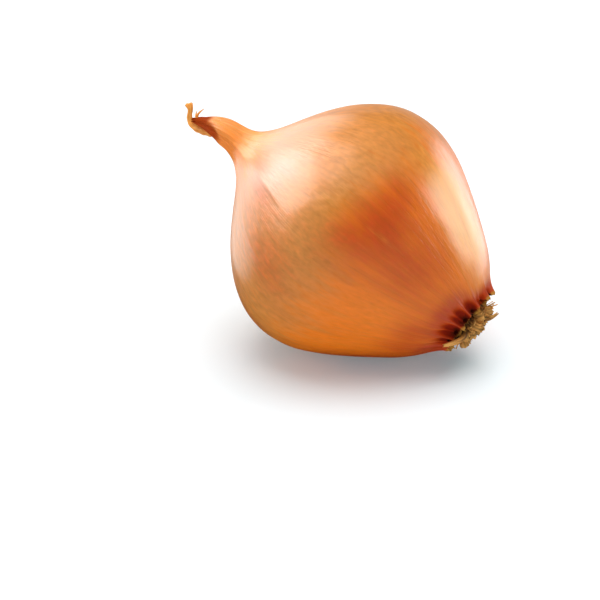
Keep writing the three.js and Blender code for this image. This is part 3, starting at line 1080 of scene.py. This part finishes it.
class ONION_OT_skin(bpy.types.Operator):
    """Build the bulb's dry skin, with its pleated foot and withered neck"""

    bl_idname = "onion.skin"
    bl_label = "Skin"

    def execute(self, context):
        make_skin(sizes_of(context.scene), skin_of(context.scene))
        return {"FINISHED"}


class ONION_OT_inner_skin(bpy.types.Operator):
    """Build the next layer of skin, which shows round the root plate"""

    bl_idname = "onion.inner_skin"
    bl_label = "Inner skin"

    def execute(self, context):
        make_inner_skin(skin_of(context.scene))
        return {"FINISHED"}


class ONION_OT_leaf_ends(bpy.types.Operator):
    """Build the dried leaf ends at the neck"""

    bl_idname = "onion.leaf_ends"
    bl_label = "Leaf ends"

    def execute(self, context):
        leaf = fibre_of(context.scene, "dry_leaf", ("orange", "leaf", "neck"), 0.5, 0.2)
        make_leaf_ends(sizes_of(context.scene), leaf)
        return {"FINISHED"}


class ONION_OT_roots(bpy.types.Operator):
    """Build the root plate and its trimmed roots"""

    bl_idname = "onion.roots"
    bl_label = "Root plate and roots"

    def execute(self, context):
        tones = ("root_dark", "root_light", "root_tip")
        fibre = fibre_of(context.scene, "root_fibre", tones, 0.78, 0.75)
        make_plate(fibre)
        make_roots(sizes_of(context.scene), fibre)
        return {"FINISHED"}


def direction(azimuth, elevation):
    """A direction by its angle round from +X and its angle up from the floor."""
    return Vector((
        math.cos(azimuth) * math.cos(elevation),
        math.sin(azimuth) * math.cos(elevation),
        math.sin(elevation),
    ))


def stand_facing(item, aim, towards, distance):
    """Puts a light or the camera at that distance from the aim, turned to face it."""
    item.location = aim + towards * distance
    item.rotation_mode = "QUATERNION"
    item.rotation_quaternion = (-towards).to_track_quat("-Z", "Y")
    bpy.context.scene.collection.objects.link(item)


def add_light(name, power, width, height, azimuth, elevation, distance, sheen_only):
    """A soft area light that faces the onion. It either lights or only gives the sheen."""
    light = bpy.data.lights.new(name, "AREA")
    light.energy = power
    light.shape = "RECTANGLE"
    light.size = width
    light.size_y = height
    lamp = bpy.data.objects.new(name, light)
    towards = direction(math.radians(azimuth), math.radians(elevation))
    stand_facing(lamp, LIT_POINT, towards, distance)
    lamp.visible_camera = False
    lamp.visible_diffuse = not sheen_only
    lamp.visible_glossy = sheen_only


def add_camera(stage):
    """The camera, turned so that the aim is in the middle of the picture."""
    data = bpy.data.cameras.new("camera")
    data.sensor_width = SENSOR_WIDTH
    data.lens = SENSOR_WIDTH * stage.distance / stage.frame_width
    data.clip_start = 0.01
    camera = bpy.data.objects.new("camera", data)
    towards = direction(stage.azimuth - math.pi / 2, stage.elevation)
    stand_facing(camera, Vector(stage.aim), towards, stage.distance)
    bpy.context.scene.camera = camera


def add_floor(colour):
    """A wide plain floor."""
    mesh = bpy.data.meshes.new("floor")
    corners = [(-1, -1, 0), (1, -1, 0), (1, 1, 0), (-1, 1, 0)]
    mesh.from_pydata([Vector(corner) * FLOOR_REACH for corner in corners], [], [(0, 1, 2, 3)])
    shader = Shader("pale_floor")
    mesh.materials.append(shader.finish(shader.surface({
        "Base Color": colour, "Roughness": 0.9, "Specular IOR Level": 0.0,
        "Emission Color": FLOOR_GLOW, "Emission Strength": GLOW_STRENGTH,
    })))
    floor = bpy.data.objects.new("floor", mesh)
    floor.visible_glossy = False
    floor.visible_shadow = False
    bpy.context.scene.collection.objects.link(floor)


def add_room(brightness):
    """A white room all round, which lights the onion and isn't mirrored in it."""
    world = bpy.data.worlds.new("white_room")
    world.use_nodes = True
    background = world.node_tree.nodes["Background"]
    background.inputs["Color"].default_value = (1, 1, 1, 1)
    background.inputs["Strength"].default_value = brightness
    bpy.context.scene.world = world
    world.cycles_visibility.glossy = False


class ONION_OT_stage(bpy.types.Operator):
    """Build the floor, the soft lights, the white room and the camera"""

    bl_idname = "onion.stage"
    bl_label = "Stage"

    def execute(self, context):
        stage = context.scene.onion_stage
        add_floor(tuple(stage.floor))
        for name, *placing in LIGHTS:
            add_light(name, getattr(stage, name), *placing)
        add_room(stage.surroundings)
        context.scene.view_settings.view_transform = "Standard"
        add_camera(stage)
        return {"FINISHED"}


class ONION_PT_panel(bpy.types.Panel):
    """The onion's pieces, sizes and colours"""

    bl_idname = "ONION_PT_panel"
    bl_label = "Whole onion"
    bl_space_type = "VIEW_3D"
    bl_region_type = "UI"
    bl_category = "Onion"

    def draw(self, context):
        for operator in OPERATORS:
            self.layout.operator(operator.bl_idname)
        groups = (
            (context.scene.onion_sizes, OnionSizes),
            (context.scene.onion_colours, OnionColours),
            (context.scene.onion_stage, OnionStage),
        )
        for group, kind in groups:
            box = self.layout.box()
            for name in kind.__annotations__:
                box.prop(group, name)


OPERATORS = (
    ONION_OT_stage,
    ONION_OT_skin,
    ONION_OT_inner_skin,
    ONION_OT_leaf_ends,
    ONION_OT_roots,
)
CLASSES = (OnionSizes, OnionColours, OnionStage, *OPERATORS, ONION_PT_panel)


def register():
    for kind in CLASSES:
        bpy.utils.register_class(kind)
    bpy.types.Scene.onion_sizes = bpy.props.PointerProperty(type=OnionSizes)
    bpy.types.Scene.onion_colours = bpy.props.PointerProperty(type=OnionColours)
    bpy.types.Scene.onion_stage = bpy.props.PointerProperty(type=OnionStage)


def unregister():
    del bpy.types.Scene.onion_stage
    del bpy.types.Scene.onion_colours
    del bpy.types.Scene.onion_sizes
    for kind in reversed(CLASSES):
        bpy.utils.unregister_class(kind)


def main():
    register()
    bpy.ops.onion.stage()
    bpy.ops.onion.skin()
    bpy.ops.onion.inner_skin()
    bpy.ops.onion.leaf_ends()
    bpy.ops.onion.roots()


if __name__ == "__main__":
    main()
